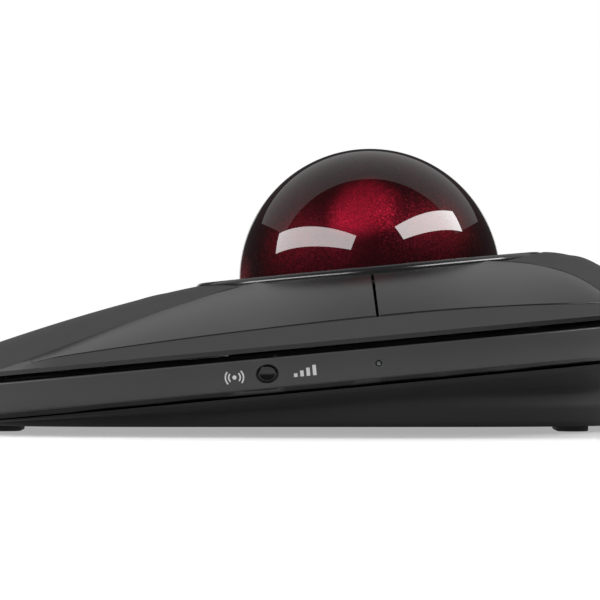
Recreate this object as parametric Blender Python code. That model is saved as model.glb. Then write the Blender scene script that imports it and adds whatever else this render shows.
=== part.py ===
"""Wireless trackball mouse: a tilted slab of top covers, buttons, side band and chassis on a wedge
base, with a 55 mm ball in a cup.

World frame: +X right, +Y away from the user, +Z up, origin on the desk under the middle of the body.
Two frames are used, both in millimetres, and MM turns them into metres:
  world  x, y, z
  slab   x, v, w: tilted about X by TILT, w = 0 on the side band's lower face, v = 0 on the ball's axis
"""

import math

import bmesh
import bpy
from mathutils import Matrix, Vector

MM = 0.001

# Driving dimensions, in millimetres and degrees
TILT = 5.35
BALL_R = 27.5
BALL_Y = 17.9
BALL_Z = 30.7
BALL_W = 19.8  # the ball's centre above the slab's w = 0
HALF_WIDTH = 65.5
FRONT_V = -96.6
REAR_V = 57.8
OUTLINE_POWER = 5.0

BAND_HEIGHT = 6.07
GROOVE = 1.33  # the black grooves above and below the side band
COVER_RIM = BAND_HEIGHT + GROOVE  # underside of the top covers
COVER_EDGE = COVER_RIM + 0.9  # top of the covers' vertical edge
COVER_WALL = 1.8
CREST = 22.15  # height of the middle of the top beside the ball
CREST_FRONT, FRONT_FALL, FRONT_POWER = -30.0, 0.0324, 1.425
CREST_REAR, REAR_FALL, REAR_POWER = 36.0, 0.0491, 1.774
SEAM_GAP = 0.35
BUTTON_GAP = 0.6

RING_R = 36.75
RING_TOP = 22.3
RING_BOTTOM = 20.6
COVER_HOLE_R = RING_R + SEAM_GAP
RING_SEAT = 20.9  # height to which the covers flatten beside the ring
SEAT_FADE = 13.0
JOIN_V = 23.5  # where the ridge leaves the ring

FRONT_TIP_V = -77.0
REAR_TIP_V = 50.0
FRONT_HINGE_V = -69.0
REAR_HINGE_V = 45.0

CUP_IN = 28.5
CUP_WALL = 1.8
CUP_LOW = -22.0  # the cup's open bottom, below the ball's centre
SUPPORT_R = 1.25
SUPPORT_TILT = 40.0
SUPPORT_AZIMUTHS = {"rear": 90.0, "front_left": 210.0, "front_right": 330.0}
SENSOR_TILT = 35.0

CHASSIS_INSET = 2.4
CHASSIS_WALL = 1.5
DECK_LOW = 4.6
DECK_TOP = 6.1
TUBE_IN = 31.0
TUBE_OUT = 33.0

BASE_Z = 1.2
FLOOR_Z = 2.7
PLINTH = 4.1
BASE_FRONT = -86.0  # from the ball's axis, as are the base's other places along Y
BASE_REAR = 57.0
BASE_HALF_WIDTH = 64.3
GRIP_START = 14.0
GRIP_FULL = 48.0
GRIP_DEPTH = 2.4

BOARD = 1.6
SWITCH_X = 42.0
SWITCH_V = 7.2
SWITCH_SIZE = (5.8, 12.6, 6.5)
SWITCH_BOARD_W = DECK_TOP + 0.3
SWITCH_LOW = SWITCH_BOARD_W + BOARD + 0.1
SWITCH_TOP = SWITCH_LOW + SWITCH_SIZE[2]
PLUNGER_R = 0.8
PLUNGER_OUT = 0.85  # how far a plunger stands out of its switch
SIDE_BUTTON_V = -22.8
SIDE_LIGHT_V = -0.8
SIDE_W = 3.0
SIDE_FACE_X = HALF_WIDTH - 0.25
CAP_R = 1.95
CAP_FLANGE_R = 2.4
CAP_DEPTH = 4.0

SCREW_PLACES = {
    "front_left": (-38.0, -50.0),
    "front_right": (38.0, -50.0),
    "rear_left": (-42.0, 20.0),
    "rear_right": (42.0, 20.0),
}
FOOT_PLACES = {
    "front_left": (-38.0, -74.0, 18.0),
    "front_right": (38.0, -74.0, 18.0),
    "rear_left": (-38.0, 40.0, 22.0),
    "rear_right": (38.0, 40.0, 22.0),
}
FOOT_DEPTH = 6.4
SCREW_JOINT_Z = 5.8  # where the base's bosses meet the chassis posts
SCREW_TOP_Z = 9.3

BATTERY_LOW = (-22.0, -62.0, 3.0)
BATTERY_HIGH = (22.0, -32.0, 7.4)
MAIN_Z = 5.0
USB_SIZE = (8.9, 3.2, 7.3)
USB_Y = BALL_Y + BASE_REAR - 3.2
USB_Z = MAIN_Z + BOARD + 0.1 + USB_SIZE[1] / 2
MODE_PLACE = (0.0, BALL_Y + 40.0)

COLOURS = {  # colour, roughness, metallic
    "cover": ((0.060, 0.060, 0.061), 0.6, 0.0),
    "shell": ((0.058, 0.058, 0.060), 0.3, 0.0),
    "chassis": ((0.006, 0.006, 0.006), 0.35, 0.0),
    "base": ((0.020, 0.020, 0.021), 0.5, 0.0),
    "ball": ((0.25, 0.006, 0.02), 0.05, 0.0),
    "ring": ((0.03, 0.03, 0.032), 0.12, 0.0),
    "rubber": ((0.02, 0.02, 0.02), 0.9, 0.0),
    "steel": ((0.55, 0.55, 0.57), 0.3, 1.0),
    "board": ((0.02, 0.12, 0.05), 0.5, 0.0),
    "component": ((0.02, 0.02, 0.022), 0.45, 0.0),
    "ceramic": ((0.85, 0.85, 0.82), 0.15, 0.0),
    "clear": ((0.8, 0.8, 0.82), 0.05, 0.0),
    "foil": ((0.35, 0.36, 0.38), 0.4, 0.0),
}

SIN = math.sin(math.radians(TILT))
COS = math.cos(math.radians(TILT))
SLAB_Y = BALL_Y + BALL_W * SIN
SLAB_Z = BALL_Z - BALL_W * COS
MID_V = (FRONT_V + REAR_V) / 2
HALF_LENGTH = (REAR_V - FRONT_V) / 2


def clear_scene():
    for obj in list(bpy.data.objects):
        bpy.data.objects.remove(obj, do_unlink=True)


def make_materials():
    made = {}
    for name, (colour, roughness, metallic) in COLOURS.items():
        material = bpy.data.materials.new(name)
        material.use_nodes = True
        shader = material.node_tree.nodes["Principled BSDF"]
        shader.inputs["Base Color"].default_value = (*colour, 1.0)
        shader.inputs["Roughness"].default_value = roughness
        shader.inputs["Metallic"].default_value = metallic
        made[name] = material
    return made


def add_object(name, bm, material, parent=None, origin=(0, 0, 0), matrix=None):
    """Writes bm, in its frame's millimetres, as an object whose origin is at origin in that frame."""
    bm.normal_update()
    bmesh.ops.recalc_face_normals(bm, faces=bm.faces[:])
    if matrix is not None:
        bm.transform(matrix)
    bm.transform(Matrix.Scale(MM, 4) @ Matrix.Translation(-Vector(origin)))
    mesh = bpy.data.meshes.new(name)
    bm.to_mesh(mesh)
    bm.free()
    mesh.shade_smooth()
    mesh.set_sharp_from_angle(angle=math.radians(35))
    mesh.materials.append(MATERIALS[material])
    obj = bpy.data.objects.new(name, mesh)
    bpy.context.scene.collection.objects.link(obj)
    obj.location = Vector(origin) * MM
    obj.parent = parent
    return obj


def combine(obj, bm, operation, parent=None, matrix=None):
    """Joins bm to obj, or cuts it from obj, through a Boolean modifier and a hidden helper."""
    helper = add_object(f"{obj.name}.tool{len(obj.modifiers)}", bm, "base", parent, matrix=matrix)
    helper.hide_render = True
    helper.display_type = "WIRE"
    modifier = obj.modifiers.new(operation.lower(), "BOOLEAN")
    modifier.operation = operation
    modifier.object = helper
    return helper


# Shapes, in millimetres


def box(low, high):
    bm = bmesh.new()
    size = [h - l for l, h in zip(low, high)]
    middle = [(l + h) / 2 for l, h in zip(low, high)]
    bmesh.ops.create_cube(bm, size=1.0, matrix=Matrix.Translation(middle) @ Matrix.Diagonal((*size, 1)))
    return bm


def rounded_box(low, high, radius, steps=3):
    """A box whose four upright edges are rounded."""
    bm = box(low, high)
    upright = [e for e in bm.edges if abs(e.verts[0].co.z - e.verts[1].co.z) > 1e-6]
    bmesh.ops.bevel(bm, geom=upright, offset=radius, segments=steps, affect="EDGES", profile=0.5)
    return bm


def turned(profile, steps, closed=True):
    """A profile of (radius, height) points spun about Z. An open profile starts and ends on the axis."""
    bm = bmesh.new()
    points = [bm.verts.new((r, 0, z)) for r, z in profile]
    pairs = list(zip(points, points[1:])) + ([(points[-1], points[0])] if closed else [])
    edges = [bm.edges.new(pair) for pair in pairs]
    bmesh.ops.spin(
        bm, geom=points + edges, cent=(0, 0, 0), axis=(0, 0, 1), angle=math.tau, steps=steps, use_merge=True
    )
    bmesh.ops.remove_doubles(bm, verts=bm.verts[:], dist=1e-4)
    return bm


def rod(radius, low, high, steps=20):
    """A cylinder about Z between two heights."""
    return turned([(0, low), (radius, low), (radius, high), (0, high)], steps, closed=False)


def loft(loops, ring):
    """Closed loops joined in order. A ring joins the last to the first, else both are capped."""
    bm = bmesh.new()
    rows = [[bm.verts.new(p) for p in loop] for loop in loops]
    for low, high in zip(rows, rows[1:] + rows[:1] if ring else rows[1:]):
        for i in range(len(low)):
            j = (i + 1) % len(low)
            bm.faces.new((low[i], low[j], high[j], high[i]))
    if not ring:
        bm.faces.new(rows[0])
        bm.faces.new(rows[-1])
    return bm


def sheet(rows, leave_out=lambda i, j: False):
    """An open surface through a grid of points."""
    bm = bmesh.new()
    grid = [[bm.verts.new(p) for p in row] for row in rows]
    for i in range(len(grid) - 1):
        for j in range(len(grid[i]) - 1):
            if not leave_out(i, j):
                bm.faces.new((grid[i][j], grid[i][j + 1], grid[i + 1][j + 1], grid[i + 1][j]))
    bmesh.ops.delete(bm, geom=[v for v in bm.verts if not v.link_faces], context="VERTS")
    return bm


def thicken(bm):
    """Gives an open surface its wall, downwards, no lower than the covers' rim."""
    made = bmesh.ops.extrude_face_region(bm, geom=bm.faces[:])
    for item in made["geom"]:
        if isinstance(item, bmesh.types.BMVert):
            item.co.z = max(item.co.z - COVER_WALL, COVER_RIM)
    return bm


def along(direction, distance=0.0, centre=(0, 0, 0)):
    """The matrix that stands a Z-up shape along direction, at a distance from centre."""
    direction = Vector(direction).normalized()
    turn = direction.to_track_quat("Z", "Y").to_matrix().to_4x4()
    return Matrix.Translation(Vector(centre) + direction * distance) @ turn


# The body's outline and top surface, in the slab frame


def superellipse(half_x, half_v, mid_v, power, count, start=0.0, stop=360.0):
    """count points evenly spaced along a superellipse between two angles; 0 is +X and 90 the rear."""
    dense = []
    for k in range(721):
        angle = math.radians(start + (stop - start) * k / 720)
        c, s = math.cos(angle), math.sin(angle)
        dense.append(
            (
                half_x * math.copysign(abs(c) ** (2 / power), c),
                mid_v + half_v * math.copysign(abs(s) ** (2 / power), s),
            )
        )
    lengths = [0.0]
    for a, b in zip(dense, dense[1:]):
        lengths.append(lengths[-1] + math.dist(a, b))
    whole = stop - start >= 360
    points, k = [], 0
    for i in range(count):
        target = lengths[-1] * i / (count if whole else count - 1)
        while k < 719 and lengths[k + 1] < target:
            k += 1
        share = min(1.0, (target - lengths[k]) / max(lengths[k + 1] - lengths[k], 1e-9))
        points.append(tuple(p + (q - p) * share for p, q in zip(dense[k], dense[k + 1])))
    return points


def body_outline(inset, count=80):
    return superellipse(HALF_WIDTH - inset, HALF_LENGTH - inset, MID_V, OUTLINE_POWER, count)


def half_width(v):
    share = min(1.0, abs(v - MID_V) / HALF_LENGTH)
    return HALF_WIDTH * (1 - share**OUTLINE_POWER) ** (1 / OUTLINE_POWER)


def outline_angle(v):
    """The superellipse angle of the right-hand outline point at v."""
    share = (v - MID_V) / HALF_LENGTH
    c = (1 - abs(share) ** OUTLINE_POWER) ** 0.5
    s = math.copysign(abs(share) ** (OUTLINE_POWER / 2), share)
    return math.degrees(math.atan2(s, c))


def crest(v):
    """Height of the middle of the top: level by the ball, falling slowly to the front and fast behind."""
    if v < CREST_FRONT:
        return CREST - FRONT_FALL * (CREST_FRONT - v) ** FRONT_POWER
    if v > CREST_REAR:
        return CREST - REAR_FALL * (v - CREST_REAR) ** REAR_POWER
    return CREST


def cover_height(x, v):
    """Height of the crowned middle surface, flattened beside the ring."""
    width = half_width(v)
    share = min(1.0, abs(x) / width) if width > 1e-6 else 1.0
    height = COVER_EDGE + (crest(v) - COVER_EDGE) * (1 - share**2.5)
    near = min(1.0, max(0.0, 1 - (math.hypot(x, v) - COVER_HOLE_R) / SEAT_FADE))
    return height + max(0.0, RING_SEAT - height) * near * near * (3 - 2 * near)


def ridge_x(v):
    """Half width of the crowned middle: the inner edge of the buttons."""
    if abs(v) <= JOIN_V:
        return math.sqrt(COVER_HOLE_R**2 - v * v)
    start = math.sqrt(COVER_HOLE_R**2 - JOIN_V**2)
    tip_v, power = (FRONT_TIP_V, 1.12) if v < 0 else (REAR_TIP_V, 1.7)
    share = min(1.0, (abs(v) - JOIN_V) / (abs(tip_v) - JOIN_V))
    return start + (half_width(tip_v) - start) * share**power


def seam_height(v):
    """Height of the seam between the buttons and the rim below them."""
    return 12.1 - (0.0004 if v < 8 else 0.0012) * (v - 8) ** 2


def seam_x(v):
    return half_width(v) - 1.9 * (seam_height(v) - COVER_EDGE)


def wing_point(v, share):
    """A point of the side surface: share 0 on the ridge, 1 on the seam, 2 on the outer edge."""
    ridge, edge = ridge_x(v), half_width(v)
    top = cover_height(ridge, v)
    seam = max(seam_x(v), ridge + 0.5 * (edge - ridge))
    seam_top = min(seam_height(v), COVER_EDGE + 0.5 * (top - COVER_EDGE))
    if share <= 1:
        fall = 0.35 * share + 0.65 * share * share
        return ridge + (seam - ridge) * share, v, top + (seam_top - top) * fall
    return seam + (edge - seam) * (share - 1), v, seam_top + (COVER_EDGE - seam_top) * (share - 1)


def spread(start, stop, count):
    return [start + (stop - start) * k / (count - 1) for k in range(count)]


# Covers, buttons and rims


def middle_cover(rear, columns, rows):
    """The crowned cover in front of or behind the ball, from the ring's edge to the outline."""
    tip_v = REAR_TIP_V if rear else FRONT_TIP_V
    sign = 1 if rear else -1
    side = math.degrees(math.acos(JOIN_V / COVER_HOLE_R))
    tip = outline_angle(tip_v)
    ends = (tip, 180 - tip) if rear else (180 - tip - 360, tip)
    edge = superellipse(HALF_WIDTH, HALF_LENGTH, MID_V, OUTLINE_POWER, columns, min(ends), max(ends))
    edge.sort(key=lambda p: p[0])
    grid = []
    for r in spread(0, 1, rows):
        row = []
        for k, q in enumerate(spread(-1, 1, columns)):
            angle = math.radians(side * q)
            inner = (COVER_HOLE_R * math.sin(angle), sign * COVER_HOLE_R * math.cos(angle))
            outer = edge[k]
            x = inner[0] + (outer[0] - inner[0]) * r
            v = inner[1] + (outer[1] - inner[1]) * r
            ridge_v = sign * JOIN_V + (tip_v - sign * JOIN_V) * r
            straight = ridge_x(JOIN_V) + (half_width(tip_v) - ridge_x(JOIN_V)) * r
            x += q * (ridge_x(ridge_v) - straight - SEAM_GAP)
            row.append((x, v, COVER_EDGE if r == 1 else cover_height(x, v)))
        grid.append(row)
    return thicken(sheet(grid))


def wing_rows(stations, shares, side, inner_gap=0.0, outer_gap=0.0):
    rows = []
    for v in stations:
        row = []
        for share in shares:
            x, _, w = wing_point(v, share)
            shift = inner_gap if share == shares[0] else -outer_gap if share == shares[-1] else 0.0
            row.append((side * (x + shift), v, w))
        rows.append(row)
    return rows


def button(side, rear):
    """One of the four buttons, with the rib that presses its switch."""
    if rear:
        stations = spread(BUTTON_GAP / 2, JOIN_V, 5) + spread(JOIN_V, REAR_HINGE_V, 6)[1:]
    else:
        stations = spread(FRONT_HINGE_V, -JOIN_V, 9) + spread(-JOIN_V, -BUTTON_GAP / 2, 5)[1:]
    shares = spread(0, 1, 6)
    return thicken(sheet(wing_rows(stations, shares, side, outer_gap=SEAM_GAP)))


def side_rim(side):
    """The glossy rim outside the buttons, with the tips that the buttons hinge from."""
    front = spread(FRONT_TIP_V + 0.8, FRONT_HINGE_V - SEAM_GAP, 4)
    rear = spread(REAR_HINGE_V + SEAM_GAP, REAR_TIP_V - 0.6, 4)
    middle = spread(front[-1], rear[0], 24)[1:-1]
    stations = front + middle + rear
    shares = [0, 0.5, 1, 1.5, 2]
    rows = wing_rows(stations, shares, side)
    tips = (len(front) - 1, len(front) + len(middle))
    return thicken(sheet(rows, lambda i, j: j < 2 and tips[0] <= i < tips[1]))


def make_covers(slab):
    add_object("palm_rest_cover", middle_cover(False, 17, 12), "cover", slab)
    add_object("rear_cover", middle_cover(True, 15, 8), "cover", slab)
    for side, hand in ((-1, "left"), (1, "right")):
        add_object(f"{hand}_side_rim", side_rim(side), "shell", slab)
        for rear in (False, True):
            name = f"{'rear' if rear else 'front'}_{hand}_button"
            hinge_v = REAR_HINGE_V if rear else FRONT_HINGE_V
            origin = (side * seam_x(hinge_v), hinge_v, seam_height(hinge_v))
            obj = add_object(name, button(side, rear), "shell", slab, origin)
            rib_x, rib_v = side * SWITCH_X, SWITCH_V if rear else -SWITCH_V
            low, high = SWITCH_TOP + PLUNGER_OUT + 0.15, wing_point(rib_v, 0.3)[2] - 0.9
            rib = box((rib_x - 1.5, rib_v - 1.5, low), (rib_x + 1.5, rib_v + 1.5, high))
            combine(obj, rib, "UNION", slab)


# Ball, cup and ring


def direction(azimuth, tilt):
    """A direction from the ball's centre, tilt degrees below the slab's level."""
    a, t = math.radians(azimuth), math.radians(tilt)
    return Vector((math.cos(t) * math.cos(a), math.cos(t) * math.sin(a), -math.sin(t)))


def make_ball(slab):
    bm = bmesh.new()
    bmesh.ops.create_uvsphere(bm, u_segments=40, v_segments=20, radius=BALL_R)
    centre = (0, 0, BALL_W)
    add_object("ball", bm, "ball", slab, centre, Matrix.Translation(centre))


def cup_profile():
    """The cup's section: a spherical wall with a flange round its mouth."""
    outer = CUP_IN + CUP_WALL
    low_in, low_out = (math.asin(CUP_LOW / r) for r in (CUP_IN, outer))
    flange_top, flange_low = RING_BOTTOM - 0.3, RING_BOTTOM - 2.1
    inside = [(CUP_IN * math.cos(a), BALL_W + CUP_IN * math.sin(a)) for a in spread(low_in, 0, 9)]
    top_out = math.asin((flange_low - BALL_W) / outer)
    outside = [(outer * math.cos(a), BALL_W + outer * math.sin(a)) for a in spread(top_out, low_out, 9)]
    return inside + [(CUP_IN, flange_top), (35.0, flange_top), (35.0, flange_low)] + outside


def make_cup(slab):
    cup = add_object("ball_cup", turned(cup_profile(), 40), "chassis", slab)
    centre = (0, 0, BALL_W)
    for name, azimuth in SUPPORT_AZIMUTHS.items():
        way = direction(azimuth, SUPPORT_TILT)
        combine(cup, rod(SUPPORT_R + 0.2, -3, 3, 12), "DIFFERENCE", slab, along(way, CUP_IN, centre))
        bm = bmesh.new()
        bmesh.ops.create_uvsphere(bm, u_segments=12, v_segments=8, radius=SUPPORT_R)
        at = along(way, BALL_R + 0.15 + SUPPORT_R, centre)
        add_object(f"{name}_support_ball", bm, "ceramic", slab, matrix=at)
        at = along(way, CUP_IN + CUP_WALL + 0.3, centre)
        add_object(f"{name}_support_seat", rod(2.4, 0, 1.6, 12), "component", slab, matrix=at)
    for hand, azimuth in (("right", 0.0), ("left", 180.0)):
        way = direction(azimuth, SENSOR_TILT)
        combine(cup, rod(4.0, -3, 3, 16), "DIFFERENCE", slab, along(way, CUP_IN, centre))
        lens = turned([(0, 0), (3.7, 0), (3.7, 1.2), (2.4, 1.9), (0, 1.9)], 16, closed=False)
        add_object(f"{hand}_sensor_lens", lens, "clear", slab, matrix=along(way, CUP_IN + 0.4, centre))
        chip = box((-4.5, -4.5, 3.4), (4.5, 4.5, 5.6))
        at = along(way, CUP_IN, centre)
        add_object(f"{hand}_optical_sensor", chip, "component", slab, matrix=at)
        plate = box((-6.5, -5.0, 5.7), (6.5, 5.0, 6.9))
        add_object(f"{hand}_sensor_board", plate, "board", slab, matrix=at)


def make_ring(slab):
    inner = BALL_R + 0.7
    profile = [
        (inner, RING_TOP - 0.9),
        (inner + 0.5, RING_TOP - 0.25),
        (inner + 1.4, RING_TOP),
        (RING_R - 0.5, RING_TOP),
        (RING_R, RING_TOP - 0.5),
        (RING_R, RING_BOTTOM),
        (inner, RING_BOTTOM),
    ]
    add_object("ball_ring", turned(profile, 56), "ring", slab)


# Side band and chassis


def band_loops(inset, lower, upper, thickness, edge=0.0):
    """The four or six loops of a band that follows the body's outline."""
    section = [(inset + thickness, lower), (inset + edge, lower)]
    if edge:
        section += [(inset, lower + edge), (inset, upper - edge)]
    section += [(inset + edge, upper), (inset + thickness, upper)]
    return [[(x, v, w) for x, v in body_outline(i)] for i, w in section]


def sideways(x, v, w=SIDE_W):
    """Stands a Z-up shape along +X at a point of the slab frame."""
    return Matrix.Translation((x, v, w)) @ Matrix.Rotation(math.radians(90), 4, "Y")


def make_band(slab):
    band = add_object("side_band", loft(band_loops(0, 0, BAND_HEIGHT, 2.0, 0.3), True), "shell", slab)
    combine(band, rod(2.2, -4, 4, 20), "DIFFERENCE", slab, sideways(HALF_WIDTH, SIDE_BUTTON_V))
    combine(band, rod(0.65, -4, 4, 10), "DIFFERENCE", slab, sideways(HALF_WIDTH, SIDE_LIGHT_V))


def make_chassis(slab):
    low, high = -GROOVE + 0.3, COVER_RIM - 0.3
    wall = loft(band_loops(CHASSIS_INSET, low, high, CHASSIS_WALL), True)
    chassis = add_object("chassis", wall, "chassis", slab)
    outline = body_outline(CHASSIS_INSET + CHASSIS_WALL / 2)
    deck = loft([[(x, v, w) for x, v in outline] for w in (DECK_LOW, DECK_TOP)], False)
    combine(chassis, deck, "UNION", slab)
    combine(chassis, rod(TUBE_OUT, DECK_LOW + 0.1, RING_BOTTOM - 2.4, 40), "UNION", slab)
    for x, y in SCREW_PLACES.values():
        post = rod(3.0, SCREW_JOINT_Z, SLAB_Z + (DECK_LOW + DECK_TOP) / 2 + y * SIN, 12)
        combine(chassis, post, "UNION", matrix=Matrix.Translation((x, BALL_Y + y, 0)))
    combine(chassis, rod(TUBE_IN, -5, 30, 40), "DIFFERENCE", slab)
    for x, y in SCREW_PLACES.values():
        hole = rod(1.4, 0, SCREW_TOP_Z + 0.4, 10)
        combine(chassis, hole, "DIFFERENCE", matrix=Matrix.Translation((x, BALL_Y + y, 0)))
    combine(chassis, rod(2.6, -4, 4, 12), "DIFFERENCE", slab, sideways(HALF_WIDTH - 3, SIDE_BUTTON_V))
    combine(chassis, rod(0.9, -4, 4, 10), "DIFFERENCE", slab, sideways(HALF_WIDTH - 3, SIDE_LIGHT_V))


# Switches and boards


def make_switches(slab):
    half_x, half_v = SWITCH_SIZE[0] / 2, SWITCH_SIZE[1] / 2
    for side, hand in ((-1, "left"), (1, "right")):
        x = side * SWITCH_X
        plate = box((x - 5, -16, SWITCH_BOARD_W), (x + 5, 16, SWITCH_BOARD_W + BOARD))
        add_object(f"{hand}_switch_board", plate, "board", slab)
        for end, v in (("front", -SWITCH_V), ("rear", SWITCH_V)):
            body = box((x - half_x, v - half_v, SWITCH_LOW), (x + half_x, v + half_v, SWITCH_TOP))
            switch = add_object(f"{end}_{hand}_switch", body, "component", slab)
            well = rod(PLUNGER_R + 0.2, SWITCH_TOP - 2.2, SWITCH_TOP + 1, 12)
            combine(switch, well, "DIFFERENCE", slab, Matrix.Translation((x, v, 0)))
            plunger = rod(PLUNGER_R, -1.1, PLUNGER_OUT, 12)
            at = (x, v, SWITCH_TOP)
            add_object(f"{end}_{hand}_plunger", plunger, "ceramic", slab, at, Matrix.Translation(at))


def side_cap_profile():
    """The button cap's section about its axis: a stem, a flange that keeps it in, and a bevelled face."""
    back = -CAP_DEPTH
    stem = [(0, back), (0.9, back), (0.9, -2.6), (CAP_FLANGE_R, -2.6), (CAP_FLANGE_R, -2.25)]
    return stem + [(CAP_R, -2.25), (CAP_R, -0.45), (CAP_R - 0.45, -0.12), (0, 0)]


def make_side_controls(slab):
    at = (SIDE_FACE_X, SIDE_BUTTON_V, SIDE_W)
    cap = turned(side_cap_profile(), 20, closed=False)
    add_object("side_button", cap, "chassis", slab, at, sideways(*at))
    stem_x = SIDE_FACE_X - CAP_DEPTH
    front_x, back_x = stem_x - 0.9, stem_x - 2.9
    tact = box((back_x, SIDE_BUTTON_V - 2.2, SIDE_W - 2.2), (front_x, SIDE_BUTTON_V + 2.2, SIDE_W + 1.4))
    switch = add_object("side_button_switch", tact, "component", slab)
    combine(switch, rod(1.0, -1.6, 1.0, 12), "DIFFERENCE", slab, sideways(front_x, SIDE_BUTTON_V))
    at = (stem_x - 0.1, SIDE_BUTTON_V, SIDE_W)
    add_object("side_button_plunger", rod(0.75, -1.7, 0, 12), "ceramic", slab, at, sideways(*at))
    board_x = back_x - 0.1
    plate = box((board_x - 1.2, SIDE_BUTTON_V - 8, -0.6), (board_x, SIDE_LIGHT_V + 6, 4.3))
    add_object("side_button_board", plate, "board", slab)
    low = (board_x + 0.1, SIDE_LIGHT_V - 0.8, SIDE_W - 0.5)
    add_object("status_led", box(low, (board_x + 0.9, SIDE_LIGHT_V + 0.8, SIDE_W + 0.5)), "clear", slab)
    pipe = rod(0.5, 0, SIDE_FACE_X - board_x - 1.2, 10)
    add_object("status_light_pipe", pipe, "clear", slab, matrix=sideways(board_x + 1.2, SIDE_LIGHT_V))


# Base, feet and screws


def top_plane_z(y, w=-GROOVE):
    """World height of the slab's plane w at a distance y behind the ball's axis."""
    return SLAB_Z + (w + (y + BALL_Y - SLAB_Y) * SIN) / COS


def base_loops():
    """The base's loops from the desk side up: foot line, plinth, finger grip, lip and top."""
    half_y, mid_y = (BASE_REAR - BASE_FRONT) / 2, (BASE_REAR + BASE_FRONT) / 2
    names = ("bottom", "edge", "plinth", "grip", "lip", "top")
    insets = dict(zip(names, (4.3, 3.6, 2.9, 2.9, 0.35, 0.0)))
    loops = {}
    for name in names:
        inset = insets[name]
        loop = []
        for x, y in superellipse(BASE_HALF_WIDTH - inset, half_y - inset, mid_y, OUTLINE_POWER, 80):
            top = top_plane_z(y)
            height = top - BASE_Z
            plinth = BASE_Z + min(PLINTH, 0.5 * height)
            lip = top - min(1.0, 0.2 * height)
            z = {
                "bottom": BASE_Z,
                "edge": BASE_Z + min(0.7, 0.15 * height),
                "plinth": plinth,
                "grip": plinth + 0.47 * (lip - plinth),
                "lip": lip,
                "top": top,
            }[name]
            if name == "grip":
                along_side = min(1.0, max(0.0, (y - GRIP_START) / (GRIP_FULL - GRIP_START)))
                off_middle = min(1.0, max(0.0, (abs(x) - 24) / 22))
                x -= math.copysign(GRIP_DEPTH * along_side * off_middle, x)
            loop.append((x, BALL_Y + y, z))
        loops[name] = loop
    return [loops[name] for name in names]


def screw_place(name):
    x, y = SCREW_PLACES[name]
    return Matrix.Translation((x, BALL_Y + y, 0))


def make_base():
    base = add_object("bottom_case", loft(base_loops(), False), "base")
    pocket = superellipse(55.0, 60.0, -8.5, 3.0, 64)
    hollow = loft([[(x, BALL_Y + y, z) for x, y in pocket] for z in (FLOOR_Z, 40)], False)
    combine(base, hollow, "DIFFERENCE")
    for name in SCREW_PLACES:
        combine(base, rod(3.4, FLOOR_Z - 0.5, SCREW_JOINT_Z - 0.3, 12), "UNION", matrix=screw_place(name))
    for name in SCREW_PLACES:
        hole = turned([(0, 0), (2.5, 0), (2.5, 3.2), (1.5, 3.2), (1.5, 8), (0, 8)], 12, closed=False)
        combine(base, hole, "DIFFERENCE", matrix=screw_place(name))
    port = rounded_port(0.25, -3, 9)
    combine(base, port, "DIFFERENCE", matrix=Matrix.Translation((0, USB_Y, USB_Z)))
    slot = rounded_box((-5.2, -1.6, 0), (5.2, 1.6, 6), 1.5, 2)
    combine(base, slot, "DIFFERENCE", matrix=Matrix.Translation((*MODE_PLACE, 0)))


def make_feet_and_screws():
    half = FOOT_DEPTH / 2
    for name, (x, y, length) in FOOT_PLACES.items():
        foot = rounded_box((-length / 2, -half, 0), (length / 2, half, BASE_Z - 0.05), half - 0.05, 4)
        lower = [e for e in foot.edges if all(v.co.z < 0.01 for v in e.verts)]
        bmesh.ops.bevel(foot, geom=lower, offset=0.35, segments=1, affect="EDGES")
        add_object(f"{name}_foot", foot, "rubber", matrix=Matrix.Translation((x, BALL_Y + y, 0)))
    head = [(0, 1.5), (2.2, 1.5), (2.2, 2.9), (1.15, 2.9)]
    shank = [(1.15, SCREW_TOP_Z), (0, SCREW_TOP_Z + 0.2)]
    for name in SCREW_PLACES:
        screw = turned(head + shank, 12, closed=False)
        add_object(f"{name}_case_screw", screw, "steel", matrix=screw_place(name))


# Electronics in the base


def rounded_port(grow, back, front):
    """The USB-C outline, grown all round, run along Y between two places."""
    half_x, half_z = USB_SIZE[0] / 2 + grow, USB_SIZE[1] / 2 + grow
    bm = rounded_box((-half_x, -half_z, back), (half_x, half_z, front), half_z - 0.02, 4)
    bm.transform(Matrix.Rotation(math.radians(-90), 4, "X"))
    return bm


def make_usb_socket():
    at = Matrix.Translation((0, USB_Y, USB_Z))
    shell = rounded_port(0, -USB_SIZE[2], 0)
    socket = add_object("usb_c_socket", shell, "steel", matrix=at)
    combine(socket, rounded_port(-0.3, -USB_SIZE[2] + 0.8, 1), "DIFFERENCE", matrix=at)
    tongue = box((-3.3, -USB_SIZE[2] + 1.0, -0.35), (3.3, -1.2, 0.35))
    add_object("usb_c_tongue", tongue, "component", matrix=at)


def make_mode_switch():
    at = Matrix.Translation((*MODE_PLACE, 0))
    slider = rounded_box((-1.8, -1.3, BASE_Z + 0.2), (1.8, 1.3, FLOOR_Z + 0.4), 0.6, 2)
    add_object("mode_switch_slider", slider, "component", None, (*MODE_PLACE, BASE_Z), at)
    body = box((-5.0, -2.0, FLOOR_Z + 0.7), (5.0, 2.0, MAIN_Z + BOARD + 0.6))
    add_object("mode_switch_body", body, "steel", matrix=at)


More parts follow.
